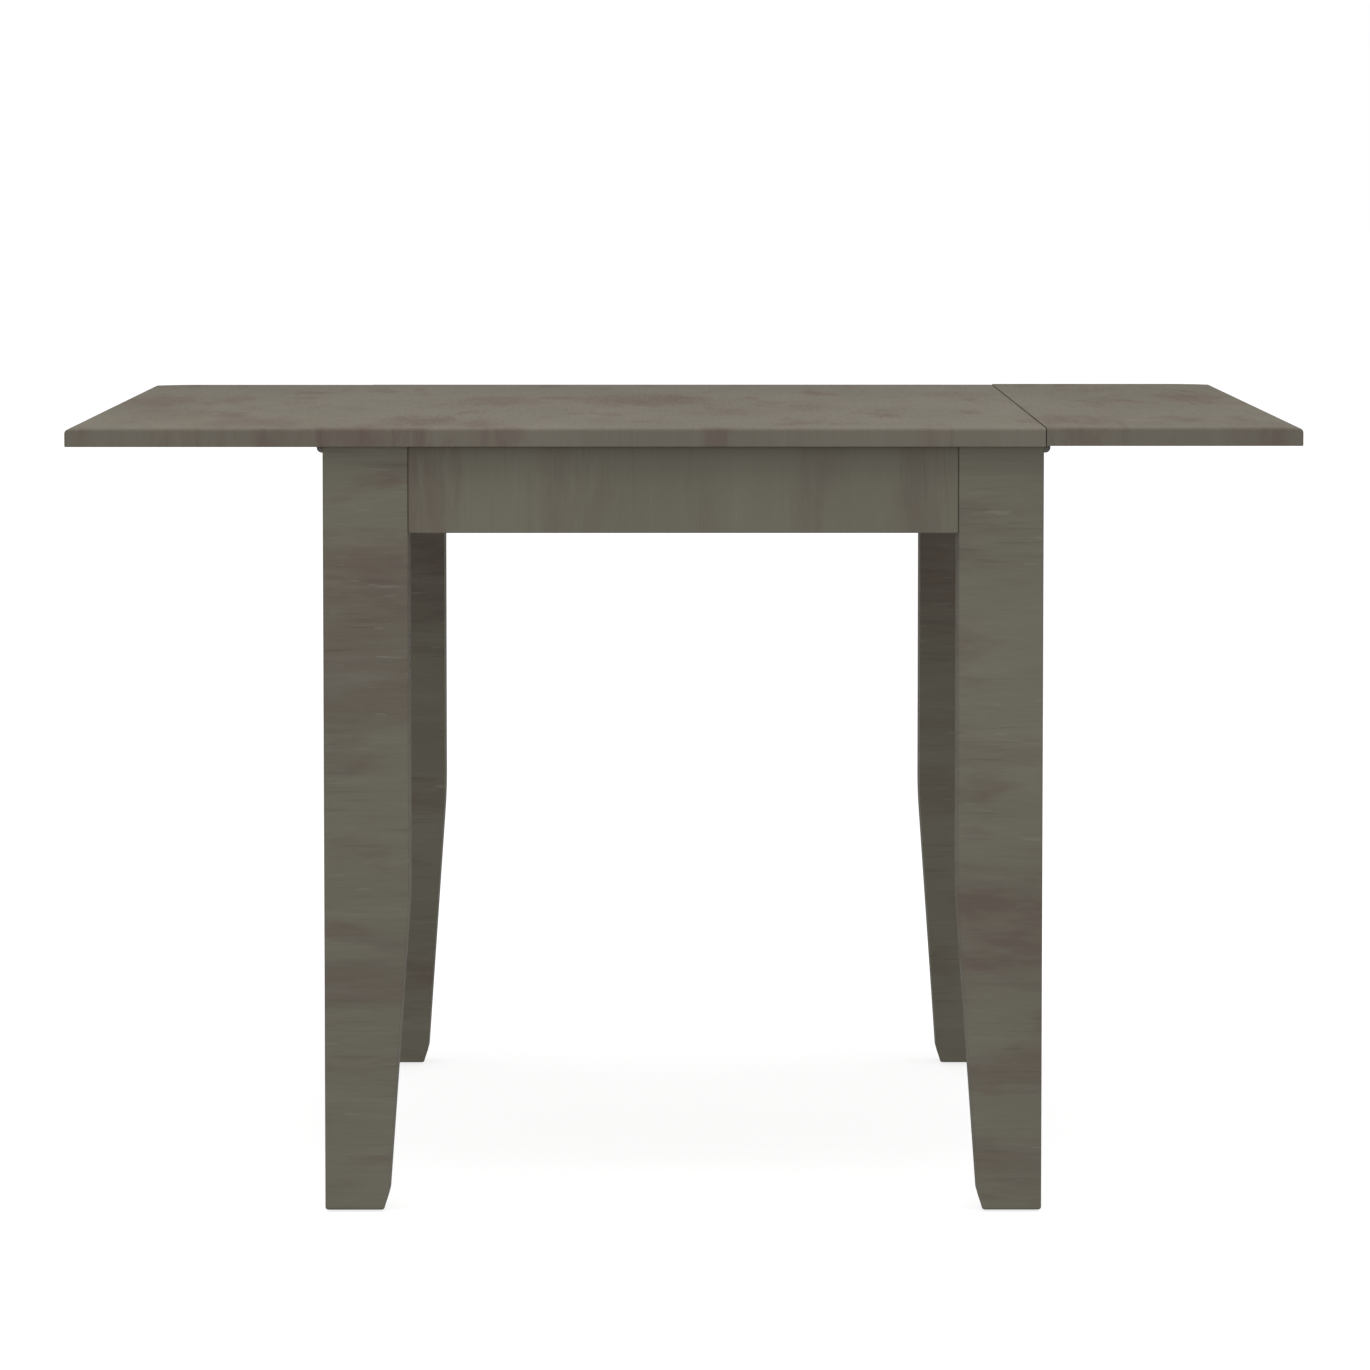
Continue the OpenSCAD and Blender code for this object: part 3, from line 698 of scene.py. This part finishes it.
# Mauve areas of the legs: height of the middle, half height and strength; the areas high on the
# rear legs are partly mauve stain and partly painted shade under the top
LEG_PATCHES = {
    "leg_front_left": ((0.615, 0.055, 0.85), (0.53, 0.07, 0.65), (0.225, 0.03, 0.6)),
    "leg_front_right": (
        (0.45, 0.02, 0.3),
        (0.28, 0.06, 0.9),
        (0.135, 0.02, 0.7),
        (0.045, 0.035, 0.5),
    ),
    "leg_rear_left": ((0.58, 0.10, 0.85),),
    "leg_rear_right": ((0.57, 0.11, 0.75), (0.31, 0.04, 0.5)),
}
# Mauve areas of the end aprons: x of the middle, half width and strength
APRON_PATCHES = {"front": ((-0.25, 0.025, 0.7), (-0.12, 0.02, 0.4), (0.23, 0.03, 0.5)), "rear": ()}

# How the stain, with the painted shade in joints, under the top and on the top's front and rear
# edges, lies on each kind of piece; the seeds below move its noise
TOP_LOOK = {
    "mauve": 1.2,
    "streaks": 0.45,
    "flecks": 0.3,
    "fine": 0.15,
    "joints": 0.0,
    "push": (0.04, 0.30),
    "tint": (1.05, 1, 0.975, 1),
    # painted shade on the front and rear edges of the top
    "painted_edge_shade": (0.92, 0.93, 0.975, 1),
}
LEG_LOOK = {"streaks": 0.85, "flecks": 0.7}
APRON_LOOK = {"mauve": 0.5, "streaks": 0.5, "flecks": 0.2, "fine": 0.6, "hollows": 0.35}
left_and_centre = stained_wood("stain_top", "X", 1.7, patches=TOP_PATCHES, **TOP_LOOK)
right_leaf = stained_wood("stain_leaf_right", "X", 7.9, patches=TOP_PATCHES, **TOP_LOOK)
centre_board(left_and_centre)
leaf("left", left_and_centre)
leaf("right", right_leaf)

for number, (end, side) in enumerate((e, s) for e in ENDS for s in SIDES):
    node = f"leg_{end}_{side}"
    spots = [((0, 0, z), (None, None, half), share) for z, half, share in LEG_PATCHES.get(node, ())]
    seed = 2.3 + 3.1 * number
    leg(end, side, stained_wood("stain_" + node, "Z", seed, patches=spots, **LEG_LOOK))

for number, end in enumerate(ENDS):
    spots = [((x, 0, 0), (half, None, None), share) for x, half, share in APRON_PATCHES[end]]
    seed = 5.2 + number
    end_apron(end, stained_wood("stain_apron_" + end, "X", seed, patches=spots, **APRON_LOOK))
for number, side in enumerate(SIDES):
    seed = 8.4 + number
    side_apron(side, stained_wood("stain_apron_" + side, "Y", seed, **APRON_LOOK))

bare = plain_wood("bare_wood_long", "YZ", 1.1)
bare_cross = plain_wood("bare_wood_cross", "XZ", 2.7)
wooden_fittings = {"centre_bearer": bare, "slide_stops": bare_cross}
for side in SIDES:
    for end in ENDS:
        wooden_fittings[f"slide_{side}_{end}"] = bare
        wooden_fittings[f"slide_guide_{side}_{end}"] = bare_cross
        wooden_fittings[f"stop_peg_{side}_{end}"] = bare_cross
for node, wood in wooden_fittings.items():
    finish_piece(eased_copy(node, SMALL_EASE), node, wood)

dark_steel = steel("dark_steel", (0.055, 0.050, 0.045, 1), (0.22, 0.20, 0.18, 1), 0.42, 0.9)
zinc = steel("zinc_plate", (0.50, 0.50, 0.48, 1), (0.70, 0.70, 0.68, 1), 0.32, 1.0, 0.2)
black_nylon = nylon("black_nylon")
slot_of = {part["node"]: part["material_slot"] for part in frame["record"]["subparts"]}
by_slot = {"hinge_steel": dark_steel, "fixing_steel": zinc, "glide_plastic": black_nylon}
for node, obj in frame["nodes"].items():
    if slot_of[node] in by_slot:
        obj.data.materials.clear()
        obj.data.materials.append(by_slot[slot_of[node]])


# ---- Studio ----

def paper_floor():
    """A wide pale floor that gives off some light of its own."""
    bm = bmesh.new()
    bmesh.ops.create_grid(bm, x_segments=1, y_segments=1, size=FLOOR_SIZE)
    floor = new_piece("studio_floor", bm)
    g = Graph("pale_floor")
    speckle = g.noise((40, 40, 40), (0, 0, 0), detail=3)
    paper = g.mix(speckle, (0.26, 0.26, 0.26, 1), (0.28, 0.28, 0.28, 1))
    g.feed(Base_Color=paper, Roughness=0.9)
    g.feed(Specular_IOR_Level=0.1, Emission_Color=WHITE, Emission_Strength=FLOOR_GLOW)
    floor.data.materials.append(g.material)


def area_light(name, place, size, power):
    """A rectangular softbox."""
    data = bpy.data.lights.new(name, "AREA")
    data.shape = "RECTANGLE"
    data.size, data.size_y = size
    data.energy = power
    light = bpy.data.objects.new(name, data)
    bpy.context.scene.collection.objects.link(light)
    light.location = place
    aim = Vector(LIGHT_TARGET) - Vector(place)
    light.rotation_euler = aim.to_track_quat("-Z", "Y").to_euler()
    light.visible_camera = False


def studio():
    """White surroundings, two softboxes and the floor."""
    world = bpy.data.worlds.new("studio")
    world.use_nodes = True
    background = world.node_tree.nodes["Background"]
    background.inputs["Color"].default_value = WHITE
    background.inputs["Strength"].default_value = WORLD_STRENGTH
    bpy.context.scene.world = world
    for name, (place, size, power) in SOFTBOXES.items():
        area_light(name, place, size, power)
    paper_floor()


def camera():
    """The camera at the photograph's viewing angle."""
    data = bpy.data.cameras.new("camera")
    data.sensor_width = SENSOR_WIDTH
    data.lens = LENS
    data.clip_end = VIEW_DISTANCE
    cam = bpy.data.objects.new("camera", data)
    bpy.context.scene.collection.objects.link(cam)
    cam.location = CAMERA_PLACE
    cam.rotation_euler = (math.pi / 2 - CAMERA_PITCH, 0, CAMERA_YAW)
    bpy.context.scene.camera = cam


studio()
camera()
bpy.context.scene.view_settings.view_transform = "Standard"
